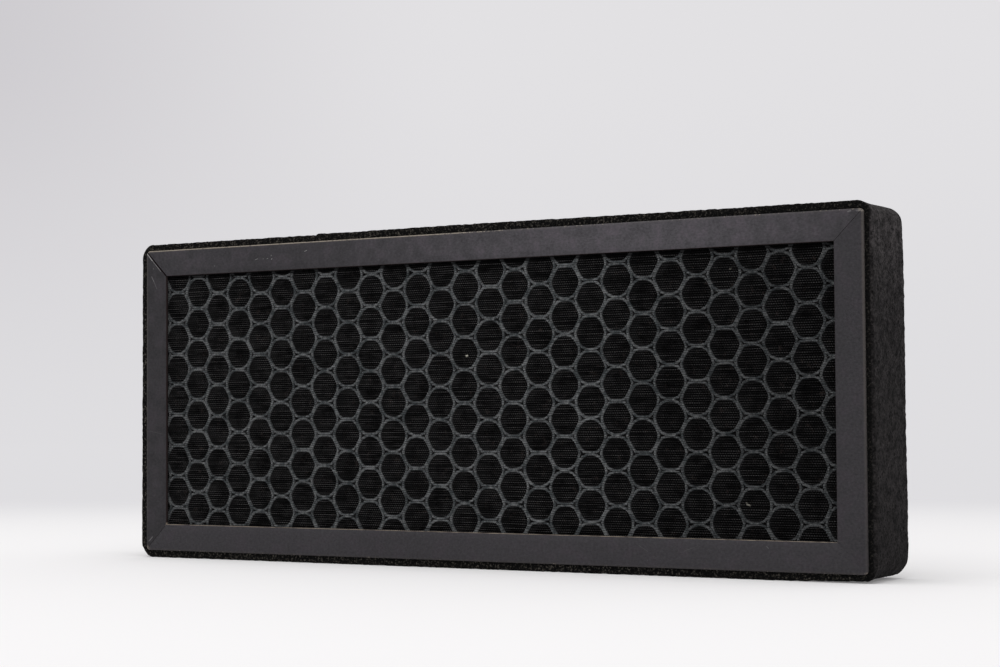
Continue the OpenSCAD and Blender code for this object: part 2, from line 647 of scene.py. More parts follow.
@dataclass(frozen=True)
class ScreenFinish:
    """Fine black thread with painted highlights in dots on the crowns of the weave, with a few white flecks
    in front.
    """

    name: str
    thread_pitch: float
    warp_pitch: float
    window_top: float
    crown_highlight: Colour
    black: Colour = (0.002, 0.002, 0.0023)
    fleck: Colour = (0.75, 0.72, 0.62)
    flecks: tuple[Mark, ...] = (
        Mark((-1.0, 51.35), (-0.8, 51.4), 0.7, 1.0),
        Mark((72.7, 16.9), (73.5, 16.4), 0.55, 0.4),
        Mark((22.15, 40.2), (22.3, 40.3), 0.4, 0.25),
        Mark((69.3, 69.5), (69.5, 69.6), 0.4, 0.3),
    )

    def build(self) -> bpy.types.Material:
        """Makes the material.

        Returns:
            The finished material.
        """
        material, graph = new_material(self.name)
        place = graph.position()
        along, across, up = graph.parts(place)
        weave = (along * (math.pi / 2 / self.warp_pitch) + up * (math.pi / 2 / self.thread_pitch)).wave()
        dots = weave * weave
        streaks = graph.noise(graph.stretched(place, (0.12, 1.0, 1.6)), 1.0, 2.0)
        # Patches where the painted highlights on the crowns are weaker.
        wear_and_sheen = graph.noise(place, 0.35, 3.0).step(0.3, 0.6)
        # Painted highlights: dots on the crowns, broken into streaks, weaker towards the right and in the
        # painted shade under the top flange.
        lit = (0.06 + dots.step(0.25, 0.9) * 0.94) * (0.15 + streaks.step(0.3, 0.62) * 0.85)
        lit = lit * (0.4 + wear_and_sheen * 0.6) * (1 - along.step(0.0, 90.0) * 0.35)
        lit = lit * (1 - recess_shade(up, self.window_top) * 0.9)
        colour = graph.mix(lit, self.black, self.crown_highlight)
        flecks = graph.stroke(along, up, self.flecks[0])
        for mark in self.flecks[1:]:
            flecks = flecks.most(graph.stroke(along, up, mark))
        finish_surface(graph, {
            "Base Color": graph.mix(flecks * across.step(0.0, -1.0), colour, self.fleck),
            "Roughness": 0.5,
            "Specular IOR Level": 0.04,
            "Normal": graph.bump(dots, 0.05),
        })
        return material


class MeshData:
    """Vertices and faces of one piece while it is built, in millimetres."""

    def __init__(self) -> None:
        """Starts empty."""
        self.blocks: list[np.ndarray] = []
        self.faces: list[Sequence[int]] = []
        self.slots: list[int] = []
        self.count = 0

    def add(self, vertices: np.ndarray, faces: Iterable[Sequence[int]], slot: int = 0) -> None:
        """Adds a shell.

        Args:
            vertices: Its points, one row each.
            faces: Its faces, numbered from its own first point.
            slot: Number of its material.
        """
        start = self.count
        self.blocks.append(np.asarray(vertices, float).reshape(-1, 3))
        for face in faces:
            self.faces.append([start + corner for corner in face])
            self.slots.append(slot)
        self.count += len(self.blocks[-1])

    def make(
        self, name: str, materials: Sequence[bpy.types.Material], smooth: bool = True
    ) -> bpy.types.Object:
        """Makes the Blender object.

        Args:
            name: The piece's name.
            materials: Its materials, by slot number.
            smooth: Whether its faces are shaded smooth.

        Returns:
            The object, in metres.
        """
        mesh = bpy.data.meshes.new(name)
        points = np.vstack(self.blocks) * MM
        mesh.from_pydata(points.tolist(), [], self.faces)
        for material in materials:
            mesh.materials.append(material)
        mesh.polygons.foreach_set("material_index", self.slots)
        mesh.polygons.foreach_set("use_smooth", [smooth] * len(mesh.polygons))
        mesh.update()
        piece = bpy.data.objects.new(name, mesh)
        bpy.context.scene.collection.objects.link(piece)
        return piece


def ring_faces(rings: int, sides: int, capped: bool = True) -> list[list[int]]:
    """Numbers the faces of a tube made of rings of points.

    Args:
        rings: Number of rings.
        sides: Points in each ring.
        capped: Whether its two ends are closed.

    Returns:
        The faces, all facing outward if the rings turn left about the tube's direction.
    """
    faces = []
    for ring in range(rings - 1):
        low, high = ring * sides, (ring + 1) * sides
        for side in range(sides):
            after = (side + 1) % sides
            faces.append([low + side, low + after, high + after, high + side])
    if capped:
        faces.append(list(range(sides))[::-1])
        faces.append([(rings - 1) * sides + side for side in range(sides)])
    return faces


def wobble(x: float, y: float, z: float, seed: float = 0.0) -> float:
    """Gives smooth noise from about -1 to 1.

    Args:
        x: First coordinate.
        y: Second coordinate.
        z: Third coordinate.
        seed: Moves the whole pattern.

    Returns:
        The noise.
    """
    return noise.noise(Vector((x + seed, y - seed, z + 2 * seed)))


def clamped(share: float) -> float:
    """Keeps a share between 0 and 1."""
    return max(0.0, min(1.0, share))


@dataclass
class Box:
    """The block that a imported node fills, in millimetres."""

    low: Vector
    high: Vector

    @classmethod
    def of(cls, node: str) -> "Box":
        """Reads a node's block.

        Args:
            node: The node's name.

        Returns:
            Its block.
        """
        low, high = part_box(node)
        return cls(low / MM, high / MM)

    @property
    def size(self) -> Vector:
        """The block's three sides."""
        return self.high - self.low

    @property
    def middle(self) -> Vector:
        """The block's centre."""
        return (self.high + self.low) / 2


class Side(Enum):
    """A side of the frame, as the direction that it faces in X and Z."""

    BOTTOM = (0, -1)
    RIGHT = (1, 0)
    TOP = (0, 1)
    LEFT = (-1, 0)


@dataclass
class CardFrame:
    """One strip of card folded into a channel, with mitred flanges on the front and back."""

    box: Box = field(default_factory=lambda: Box.of("card_frame"))
    card: float = 0.7
    flange: float = FLANGE
    fold_radius: float = 0.42
    corner_radius: float = 1.0
    open_seam: float = 0.13
    tight_seam: float = 0.03
    closing_seam: float = 0.5
    edge_round: float = 0.08
    station: float = 3.0
    end_stations: tuple[float, ...] = (0.0, 0.25, 0.5, 0.75, 1.0, 1.6)
    warp: float = 0.10
    warp_scale: float = 0.03
    join_lift: float = 0.28
    join_reach: float = 14.0

    def profile(self) -> list[tuple[float, float, bool]]:
        """Gives the channel's section.

        Returns:
            Points as inset from the outside and depth from the middle, each with whether the next face
            is a cut edge.
        """
        half = self.box.size.y / 2
        radius = self.fold_radius
        tip = self.flange
        flat = (tip - self.edge_round, tip * 0.72, tip * 0.45, tip * 0.2)
        front = [(inset, -half, False) for inset in flat]
        for step in range(5):
            turn = math.radians(step * 22.5)
            inset = radius - radius * math.sin(turn)
            front.append((inset, -half + radius - radius * math.cos(turn), False))
        back = [(inset, -depth, cut) for inset, depth, cut in reversed(front)]
        tip_back = [(tip, half - self.edge_round, True), (tip, half - self.card, False)]
        inside = [(self.card, half - self.card, False), (self.card, self.card - half, False)]
        tip_front = [(tip, self.card - half, True), (tip, self.edge_round - half, True)]
        return front + back + tip_back + inside + tip_front

    def seams(self, side: Side) -> tuple[float, float]:
        """Gives half of the seam at each end of a side.

        Args:
            side: The side.

        Returns:
            The cut-backs at its low end and its high end.
        """
        seam, tight, closing = self.open_seam / 2, self.tight_seam / 2, self.closing_seam / 2
        cuts = {
            Side.TOP: (closing, seam),
            Side.LEFT: (seam, closing),
            Side.BOTTOM: (seam, tight),
            Side.RIGHT: (tight, seam),
        }
        return cuts[side]

    def rounded(self, point: np.ndarray) -> np.ndarray:
        """Rounds the frame's four upright corners.

        Args:
            point: A point, measured from the frame's middle.

        Returns:
            The point, moved inward if it lies in a corner.
        """
        half = (self.box.size.x / 2 - self.corner_radius, self.box.size.z / 2 - self.corner_radius)
        out = (abs(point[0]) - half[0], abs(point[2]) - half[1])
        if min(out) <= 0:
            return point
        share = max(out) / math.hypot(*out)
        moved = [math.copysign(half[i] + out[i] * share, point[j]) for i, j in enumerate((0, 2))]
        return np.array([moved[0], point[1], moved[1]])

    def warped(self, point: np.ndarray, inset: float) -> np.ndarray:
        """Adds the slight unevenness of a flange folded by hand.

        Args:
            point: A point, measured from the frame's middle.
            inset: Its distance from the outside of the frame.

        Returns:
            The moved point.
        """
        share = inset / self.flange
        if abs(point[1]) < self.box.size.y / 2 - 2 * self.card:
            return point
        scale = self.warp_scale
        lift = wobble(point[0] * scale, point[1], point[2] * scale, 3.1) * self.warp * share
        from_join = math.hypot(point[0] + self.box.size.x / 2, point[2] - self.box.size.z / 2)
        near_join = max(0.0, 1 - from_join / self.join_reach)
        is_left = abs(point[0]) - self.box.size.x / 2 > abs(point[2]) - self.box.size.z / 2
        at_join = is_left and point[0] < 0 and point[2] > 0
        raised = self.join_lift * near_join * share if at_join else 0.0
        outward = math.copysign(max(0.0, lift) + raised, point[1])
        return point + np.array([0.0, outward, 0.0])

    def side_rings(self, side: Side) -> np.ndarray:
        """Sweeps the section along one side, from mitre to mitre.

        Args:
            side: The side.

        Returns:
            The points, as rings by section points by coordinates.
        """
        across = abs(side.value[1])
        span = self.box.size.x if across else self.box.size.z
        reach = (self.box.size.z if across else self.box.size.x) / 2
        facing = side.value[1] if across else side.value[0]
        low_cut, high_cut = self.seams(side)
        ends = self.end_stations
        inner = int(span / self.station)
        rings = []
        for index in range(len(ends) * 2 + inner - 1):
            ring = []
            for inset, depth, _ in self.profile():
                low = -span / 2 + inset + low_cut
                high = span / 2 - inset - high_cut
                if index < len(ends):
                    travel = low + ends[index]
                elif index < len(ends) + inner - 1:
                    share = (index - len(ends) + 1) / inner
                    travel = low + ends[-1] + share * (high - low - 2 * ends[-1])
                else:
                    travel = high - ends[len(ends) * 2 + inner - 2 - index]
                out = facing * (reach - inset)
                flat = np.array([travel, depth, out] if across else [out, depth, travel])
                ring.append(self.warped(self.rounded(flat), inset))
            rings.append(ring)
        return np.array(rings)

    def build(self) -> bpy.types.Object:
        """Makes the frame.

        Returns:
            The piece.
        """
        data = MeshData()
        profile = self.profile()
        for side in Side:
            rings = self.side_rings(side) + np.array(self.box.middle)
            sides = len(profile)
            faces = ring_faces(len(rings), sides, capped=False)
            if side in (Side.TOP, Side.LEFT):
                faces = [face[::-1] for face in faces]
            plain = [f for i, f in enumerate(faces) if not profile[i % sides][2]]
            cut = [f for i, f in enumerate(faces) if profile[i % sides][2]]
            start = data.count
            data.add(rings, plain)
            ends = self.end_caps(len(rings), side)
            data.faces += [[start + corner for corner in face] for face in cut + ends]
            data.slots += [1] * (len(data.faces) - len(data.slots))
        half = self.box.size / 2
        finish = CardFinish(half.x, half.z, self.box.middle.z, self.box.low.y)
        edge = CardEdgeFinish(self.box.middle.z, self.box.size.z - 2 * self.flange)
        piece = data.make("folded_card_frame", [finish.build(), edge.build()])
        sharpen(piece, 50.0)
        return dress(piece, "card", "card_frame")

    def end_caps(self, rings: int, side: Side) -> list[list[int]]:
        """Closes the two mitred ends of a side.

        Args:
            rings: Number of rings in the side.
            side: The side.

        Returns:
            The faces.
        """
        count = len(self.profile())
        order = list(range(count))
        flip = side in (Side.TOP, Side.LEFT)
        low = order[::-1] if not flip else order
        high = [(rings - 1) * count + corner for corner in (order if not flip else order[::-1])]
        return [low, high]


def sharpen(piece: bpy.types.Object, degrees: float) -> None:
    """Marks the edges sharper than an angle, so that smooth shading stops there.

    Args:
        piece: The piece.
        degrees: The angle.
    """
    bpy.context.view_layer.objects.active = piece
    piece.select_set(True)
    bpy.ops.object.shade_smooth_by_angle(angle=math.radians(degrees))
    piece.select_set(False)


def dress(piece: bpy.types.Object, slot: str, *nodes: str) -> bpy.types.Object:
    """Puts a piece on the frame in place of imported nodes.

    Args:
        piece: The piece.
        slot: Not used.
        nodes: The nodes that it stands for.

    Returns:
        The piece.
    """
    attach(piece, BODY)
    if nodes:
        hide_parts(*nodes)
    LOG.info("%s: %d faces", piece.name, len(piece.data.polygons))
    return piece


@dataclass
class FoamStrip:
    """A porous foam strip wrapped once round the frame, with a butt joint on the top."""

    card: Box = field(default_factory=lambda: Box.of("card_frame"))
    box: Box = field(default_factory=lambda: Box.of("foam_strip"))
    card_corner: float = 1.0
    joint_x: float = -46.0
    joint_gap: float = 0.3
    joint_step: float = 0.2
    joint_reach: float = 5.0
    joint_rounding: float = 0.45
    joint_round_reach: float = 0.9
    pulled_radius: float = 3.7
    loose_radius: Point = (4.9, 5.4)
    grain: float = 0.6
    lump: float = 0.2
    coarse_lumps: float = 0.55
    fine_lumps: float = 1.5
    edge_round: float = 0.25
    edge_roughness: float = 0.2
    edge_grain: float = 1.6
    top_left_thinning: float = 0.16
    top_swell: float = 0.13
    top_swell_x: float = 3.0
    top_swell_spread: float = 25.0
    left_swell: float = 0.22
    left_taper: float = 0.12
    right_sag: float = 0.14
    right_thinning: float = 0.25
    underside_thinning: float = 0.4
    underside_start: float = 84.0
    underside_run: float = 16.0

    @property
    def thickness(self) -> float:
        """The strip's thickness."""
        return self.box.high.z - self.card.high.z

    def route(self) -> list[tuple[Point, Point]]:
        """Follows the card's outline once round, clockwise from the joint on the top.

        Returns:
            Points on the card, each with the direction that faces outward.
        """
        half_x = self.card.size.x / 2 - self.card_corner
        half_z = self.card.size.z / 2 - self.card_corner
        gap = self.joint_gap / 2
        right = [(half_x, half_z, 90), (half_x, -half_z, 0)]
        left = [(-half_x, -half_z, -90), (-half_x, half_z, -180)]
        stops = [(self.joint_x + gap, half_z)]
        route: list[tuple[Point, Point]] = []
        for corner_x, corner_z, angle in right + left:
            route += self.straight(stops[-1], (corner_x, corner_z), angle)
            for step in range(1, 6):
                turn = math.radians(angle - step * 15)
                route.append(((corner_x, corner_z), (math.cos(turn), math.sin(turn))))
            stops.append((corner_x, corner_z))
        route += self.straight(stops[-1], (self.joint_x - gap, half_z), 90)
        return route

    def straight(self, start: Point, end: Point, facing: float) -> list[tuple[Point, Point]]:
        """Follows one straight side.

        Args:
            start: Where it starts, a corner radius inside the card's surface.
            end: Where it ends.
            facing: The angle that it faces, in degrees.

        Returns:
            The stations.
        """
        out = (math.cos(math.radians(facing)), math.sin(math.radians(facing)))
        steps = max(2, round(math.dist(start, end) / self.grain))
        places = [(start[0] + (end[0] - start[0]) * i / steps, start[1] + (end[1] - start[1]) * i / steps)
                  for i in range(steps + 1)]
        return [(place, out) for place in places]

    def section(self) -> list[Point]:
        """Gives the strip's section.

        Returns:
            Points as height above the card and depth, once round.
        """
        low, high = self.box.low.y, self.box.high.y
        top, edge = self.thickness, self.edge_round
        wide = round((high - low - 2 * edge) / self.grain)
        tall = 4
        outer = [(top, low + edge + (high - low - 2 * edge) * i / wide) for i in range(wide + 1)]
        back = [(top - edge - (top - edge) * i / tall, high) for i in range(tall + 1)]
        inner = [(0.0, high + (low - high) * i / 4) for i in range(1, 4)]
        front = [((top - edge) * i / tall, low) for i in range(tall + 1)]
        return outer + back + inner + front

    def build(self) -> bpy.types.Object:
        """Makes the strip.

        Returns:
            The piece.
        """
        data = MeshData()
        section = self.section()
        route = self.route()
        middle = self.card.middle
        points = []
        for number, (place, out) in enumerate(route):
            for height, depth in section:
                rise = self.surface(place, out, height, depth, number < len(route) / 2)
                radius = self.card_corner + rise
                front = self.front_shift(place, out, height, depth)
                x, z = self.pulled(place[0] + out[0] * radius, place[1] + out[1] * radius, rise, depth)
                points.append((middle.x + x, depth + front, middle.z + z))
        data.add(np.array(points), ring_faces(len(route), len(section)))
        finish = FoamFinish(self.box.low.y, self.box.high.z, self.box.high.x)
        piece = data.make("foam_seal_strip", [finish.build()])
        sharpen(piece, 60.0)
        dress(piece, "foam", "foam_strip")
        return piece

    def pulled(self, x: float, z: float, rise: float, depth: float) -> Point:
        """Pulls the foam tight round the frame's corners, most at the back of the right end.

        Args:
            x: Distance from the frame's middle along X.
            z: Distance from the frame's middle along Z.
            rise: Height above the card.
            depth: Place across the strip.

        Returns:
            The point, moved inward if it lies outside the tighter corner.
        """
        backward = min(1.0, 3 * (depth - self.box.low.y) / self.box.size.y) if x > 0 else 0.0
        loose = self.loose_radius[0] if z > 0 else self.loose_radius[1]
        corner = self.pulled_radius + (loose - self.pulled_radius) * backward
        centre = (self.box.size.x / 2 - corner, self.box.size.z / 2 - corner)
        out = (abs(x) - centre[0], abs(z) - centre[1])
        if min(out) <= 0:
            return x, z
        inset = corner - self.thickness - self.card_corner
        card = (inset + self.card_corner * math.sqrt(0.5)) * math.sqrt(2)
        allowed = card + (corner - card) * rise / self.thickness
        share = min(1.0, allowed / math.hypot(*out))
        return math.copysign(centre[0] + out[0] * share, x), math.copysign(centre[1] + out[1] * share, z)

    def surface(self, place: Point, out: Point, height: float, depth: float, first_half: bool) -> float:
        """Adds lumps and the uneven joint to a height above the card.

        Args:
            place: The station's place.
            out: The way that it faces.
            height: The plain height.
            depth: Place across the strip.
            first_half: Whether the station is in the half that starts at the joint.

        Returns:
            The height.
        """
        if height < 0.01:
            return 0.0
        spot = (place[0] + out[0] * 2, depth, place[1] + out[1] * 2)
        coarse = wobble(*(part * self.coarse_lumps for part in spot), 1.7)
        fine = wobble(*(part * self.fine_lumps for part in spot), 8.2)
        share = height / self.thickness
        lumps = min(0.0, (coarse * 0.6 + fine * 0.6 - 0.35) * self.lump) + self.swell(place, out)
        from_joint = abs(place[0] - self.joint_x)
        if out[1] < STRAIGHT or from_joint > self.joint_reach:
            return height + lumps * share
        step = self.joint_step * max(0.0, 1 - from_joint / self.joint_reach) if first_half else 0.0
        rounding = self.joint_rounding * max(0.0, 1 - from_joint / self.joint_round_reach) ** 2
        return height + (lumps + step - rounding) * share

    def swell(self, place: Point, out: Point) -> float:
        """Tells how much thicker or thinner the strip is than even foam.

        Args:
            place: The station's place.
            out: The way that it faces.

        Returns:
            The extra thickness. It is negative where the strip is stretched.
        """
        level = place[1] / self.card.size.z * 2
        if out[1] > STRAIGHT:
            if place[0] < self.joint_x:
                return -self.top_left_thinning
            offset = (place[0] - self.top_swell_x) / self.top_swell_spread
            return self.top_swell * math.exp(-(offset**2))
        if out[0] < -STRAIGHT:
            return self.left_swell - self.left_taper * level
        if out[0] > STRAIGHT:
            pulled_in = clamped((level - 0.6) * 4)
            sagged = clamped((-0.3 - level) * 4)
            return self.right_sag * sagged - self.right_thinning * pulled_in
        if out[1] < -STRAIGHT:
            share = clamped((place[0] - self.underside_start) / self.underside_run)
            return -self.underside_thinning * share
        return 0.0

    def front_shift(self, place: Point, out: Point, height: float, depth: float) -> float:
        """Roughens the strip's cut edges.

        Args:
            place: The station's place.
            out: The way that it faces.
            height: Height above the card.
            depth: Place across the strip.

        Returns:
            How far the point moves along Y.
        """
        if self.box.low.y + 0.01 < depth < self.box.high.y - 0.01:
            return 0.0
        inward = 1 if depth < self.box.middle.y else -1
        grain = self.edge_grain
        x, z = (place[axis] * grain + out[axis] * height for axis in (0, 1))
        return inward * abs(wobble(x, height * grain, z, 5.5)) * self.edge_roughness


@dataclass(frozen=True)
class Drift:
    """A smooth bend of the whole block: how far its tubes lie from a perfect lattice, in one direction."""

    shift: float
    stretch: float
    lean: float
    bow: float
    twist: float
    swell: float
    end_stretch: float
    end_lean: float
    length_unit: float = 100.0
    height_unit: float = 40.0

    def at(self, x: float, z: float) -> float:
        """Gives the bend at one place.

        Args:
            x: Distance from the core's middle along its length.
            z: Distance from the core's middle along its height.

        Returns:
            How far the tube moves.
        """
        along, up = x / self.length_unit, z / self.height_unit
        even = self.shift + self.stretch * along + self.lean * up
        bent = self.bow * along**2 + self.twist * along * up + self.swell * up**2
        return even + bent + self.end_stretch * along**3 + self.end_lean * along**2 * up


@dataclass
class Lattice:
    """Where the tubes of the honeycomb lie, a little uneven as in a real fused block."""

    core: Box = field(default_factory=lambda: Box.of("honeycomb_core"))
    pitch: float = 8.0
    shift: Point = (5.5, -1.2)
    tilt: float = math.radians(-0.3)
    unevenness: Point = (0.16, 0.20)
    drift_x: Drift = Drift(-0.40, 0.58, 0.20, 0.06, -0.25, 0.42, -1.01, -0.87)
    drift_z: Drift = Drift(-0.47, -0.10, 0.13, 1.67, -0.06, -0.07, 0.30, 0.37)
    margin: float = 0.9
    most_columns: int = 20
    most_rows: int = 8

    def centre(self, column: int, row: int) -> Point:
        """Gives a tube's centre, measured from the middle of the core.

        Args:
            column: Its column.
            row: Its row.

        Returns:
            Its place along X and Z.
        """
        x = self.shift[0] + column * self.pitch * math.sqrt(3) / 2
        z = self.shift[1] + (row + (column % 2) / 2) * self.pitch
        x += wobble(x * 0.09, z * 0.09, 0.0, 4.4) * self.unevenness[0] * 2
        z += wobble(x * 0.09, z * 0.09, 9.0, 7.7) * self.unevenness[1] * 2
        x, z = x + self.drift_x.at(x, z), z + self.drift_z.at(x, z)
        cosine, sine = math.cos(self.tilt), math.sin(self.tilt)
        return x * cosine - z * sine, x * sine + z * cosine

    def corners(self, column: int, row: int) -> list[Point]:
        """Gives the six places where a tube meets two neighbours, from the right and turning left.

        Args:
            column: The tube's column.
            row: The tube's row.

        Returns:
            The six corners of its cell.
        """
        odd = column % 2
        around = [(1, odd), (0, 1), (-1, odd), (-1, odd - 1), (0, -1), (1, odd - 1)]
        ring = [self.centre(column + step, row + rise) for step, rise in around]
        own = self.centre(column, row)
        found = []
        for index in range(6):
            pair = (ring[index - 1], ring[index])
            found.append(tuple(sum(c[axis] for c in (own, *pair)) / 3 for axis in (0, 1)))
        return found

    def tubes(self) -> list[tuple[int, int]]:
        """Lists the tubes whose centres lie inside the core.

        Returns:
            Their columns and rows.
        """
        half = self.core.size / 2
        inside = []
        for column in range(-self.most_columns, self.most_columns + 1):
            for row in range(-self.most_rows, self.most_rows + 1):
                x, z = self.centre(column, row)
                if abs(x) < half.x - self.margin and abs(z) < half.z - self.margin:
                    inside.append((column, row))
        return inside


@dataclass
class HoneycombCore:
    """A slab of fused plastic tubes with small voids where three tubes meet."""

    lattice: Lattice
    wall: float = 0.47
    bore_round: float = 3.74
    outer_round: float = 4.34
    lip: float = 0.08
    flat_share: float = 0.8
    sides: int = 24

    def outline(self, column: int, row: int) -> tuple[np.ndarray, np.ndarray]:
        """Works out a tube's outer and inner outlines.

        Args:
            column: The tube's column.
            row: The tube's row.

        Returns:
            The two outlines, as points along X and Z.
        """
        own = np.array(self.lattice.centre(column, row))
        corners = np.array(self.lattice.corners(column, row)) - own
        half = self.lattice.core.size / 2
        outer, inner = [], []
        first = math.atan2(corners[0][1], corners[0][0])
        for step in range(self.sides):
            angle = first + 2 * math.pi * step / self.sides
            way = np.array([math.cos(angle), math.sin(angle)])
            reach = min(self.to_cell(corners, way), self.to_edge(own, way, (half.x, half.z)))
            outer.append(own + way * min(reach, self.outer_round))
            bore = reach - self.wall
            if bore < self.bore_round:
                bore -= max(0.0, bore + 0.25 - self.bore_round) ** 2 * 0.5
            inner.append(own + way * min(bore, self.bore_round))
        return np.array(outer), np.array(inner)

    @staticmethod
    def to_cell(corners: np.ndarray, way: np.ndarray) -> float:
        """Measures from a tube's centre to the side of its cell.

        Args:
            corners: The cell's corners, measured from the centre.
            way: The direction to look.

        Returns:
            The distance.
        """
        best = math.inf
        for index in range(6):
            start, end = corners[index - 1], corners[index]
            normal = np.array([end[1] - start[1], start[0] - end[0]])
            facing = float(normal @ way)
            if facing > 1e-6:
                best = min(best, float(normal @ start) / facing)
        return best

    @staticmethod
    def to_edge(own: np.ndarray, way: np.ndarray, half: Point) -> float:
        """Measures from a tube's centre to the cut edge of the core.

        Args:
            own: The tube's centre.
            way: The direction to look.
            half: Half of the core's length and height.

        Returns:
            The distance.
        """
        reaches = [(math.copysign(half[axis], way[axis]) - own[axis]) / way[axis]
                   for axis in (0, 1) if abs(way[axis]) > 1e-6]
        return min(reaches)

    def build(self) -> bpy.types.Object:
        """Makes the core.

        Returns:
            The piece.
        """
        data = MeshData()
        middle = self.lattice.core.middle
        half = self.lattice.core.size.y / 2
        lip = self.lip
        for column, row in self.lattice.tubes():
            outer, inner = self.outline(column, row)
            middle_line = (outer + inner) / 2
            flat_in = middle_line + (inner - middle_line) * self.flat_share
            rings = [(outer, -half), (flat_in, -half), (inner, -half + lip), (inner, -half / 2),
                     (inner, half / 2), (inner, half - lip), (flat_in, half), (outer, half)]
            points = [(middle.x + x, middle.y + y, middle.z + z) for ring, y in rings for x, z in ring]
            faces = ring_faces(len(rings), self.sides, capped=False)
            last = (len(rings) - 1) * self.sides
            for side in range(self.sides):
                after = (side + 1) % self.sides
                faces.append([last + side, last + after, after, side])
            data.add(np.array(points), [face[::-1] for face in faces])
        window_top = Box.of("card_frame").high.z - FLANGE
        piece = data.make("fused_tube_core", [TubeFinish(half, window_top).build()])
        sharpen(piece, 55.0)
        return dress(piece, "tube_plastic", "honeycomb_core")


class Face(Enum):
    """The face of the filter that granules lie against, as its direction along Y."""

    FRONT = -1
    BACK = 1


@dataclass
class CarbonFill:
    """Loose carbon granules, settled towards the lower side of each cell."""

    lattice: Lattice
    bore: float = 3.35
    least: float = 1.2
    most: float = 2.3
    recess: float = 0.22
    slope: float = 0.30
    plug_depth: float = 2.9

    def lump_shape(self) -> tuple[np.ndarray, list[list[int]]]:
        """Makes the plain form of one granule, with twelve points.

        Returns:
            Its points, at a radius of 1, and its faces.
        """
        golden = (1 + math.sqrt(5)) / 2
        flat = [(s, t * golden) for s in (-1, 1) for t in (-1, 1)]
        points = [(0, a, b) for a, b in flat]
        points += [(a, b, 0) for a, b in flat]
        points += [(b, 0, a) for a, b in flat]
        unit = np.array(points, float) / math.hypot(1, golden)
        faces = []
        edge = 2 / math.hypot(1, golden) * 1.01
        for a in range(12):
            for b in range(a + 1, 12):
                for c in range(b + 1, 12):
                    sides = [np.linalg.norm(unit[i] - unit[j]) for i, j in ((a, b), (b, c), (c, a))]
                    if max(sides) < edge:
                        normal = np.cross(unit[b] - unit[a], unit[c] - unit[a])
                        faces.append([a, b, c] if normal @ unit[a] > 0 else [a, c, b])
        return unit, faces

    def build(self, face: Face, per_cell: int, seed: int) -> bpy.types.Object:
        """Makes the granules that lie against one face.

        Args:
            face: The face of the filter.
            per_cell: Number of granules in each cell.
            seed: Start of the random draws.

        Returns:
            The piece.
        """
        draw = np.random.default_rng(seed)
        unit, faces = self.lump_shape()
        core = self.lattice.core
        plane = core.middle.y + face.value * (core.size.y / 2 - self.recess)
        data = MeshData()
        for column, row in self.lattice.tubes():
            own = np.array(self.lattice.centre(column, row))
            settled = draw.uniform(-0.8, 0.9)
            for number in range(per_cell):
                radius = draw.uniform(self.least, self.most) / 2
                angle = draw.uniform(0, 2 * math.pi)
                out = (self.bore - radius) * math.sqrt(draw.uniform(0, 1))
                spot = own + out * np.array([math.cos(angle), math.sin(angle)])
                rise = out * math.sin(angle) + self.bore
                depth = radius + max(0.0, rise * self.slope + settled) * draw.uniform(0.55, 1.0)
                shape = unit * draw.uniform(0.72, 1.12, (12, 1)) * draw.uniform(0.7, 1.0, 3) * radius
                turn = Matrix.Rotation(draw.uniform(0, 6.28), 3, Vector(draw.normal(size=3)))
                centre = np.array([spot[0], plane - face.value * depth, spot[1]])
                centre += (core.middle.x, 0.0, core.middle.z)
                clear = np.clip(centre, np.array(core.low) + radius, np.array(core.high) - radius)
                data.add(shape @ np.array(turn).T + clear, faces)
        if face is Face.FRONT:
            self.add_plugs(data)
        replaced = ("carbon_granules",) if face is Face.FRONT else ()
        finish = CarbonFinish(Box.of("card_frame").high.z - FLANGE)
        piece = data.make(f"carbon_granules_{face.name.lower()}", [finish.build()], smooth=False)
        return dress(piece, "carbon", *replaced)

    def add_plugs(self, data: MeshData) -> None:
        """Fills the middle of each cell, behind the granules that show.

        Args:
            data: The piece being built.
        """
        core = self.lattice.core
        half = core.size.y / 2 - self.plug_depth
        ring = [(math.cos(a), math.sin(a)) for a in np.arange(10) * math.radians(36)]
        for column, row in self.lattice.tubes():
            x, z = self.lattice.centre(column, row)
            reach = min(self.bore, core.size.x / 2 - abs(x) - 0.5, core.size.z / 2 - abs(z) - 0.5)
            if reach < 0.5:
                continue
            points = [(core.middle.x + x + c * reach, core.middle.y + y, core.middle.z + z + s * reach)
                      for y in (half, -half) for c, s in ring]
            data.add(np.array(points), ring_faces(2, len(ring)))


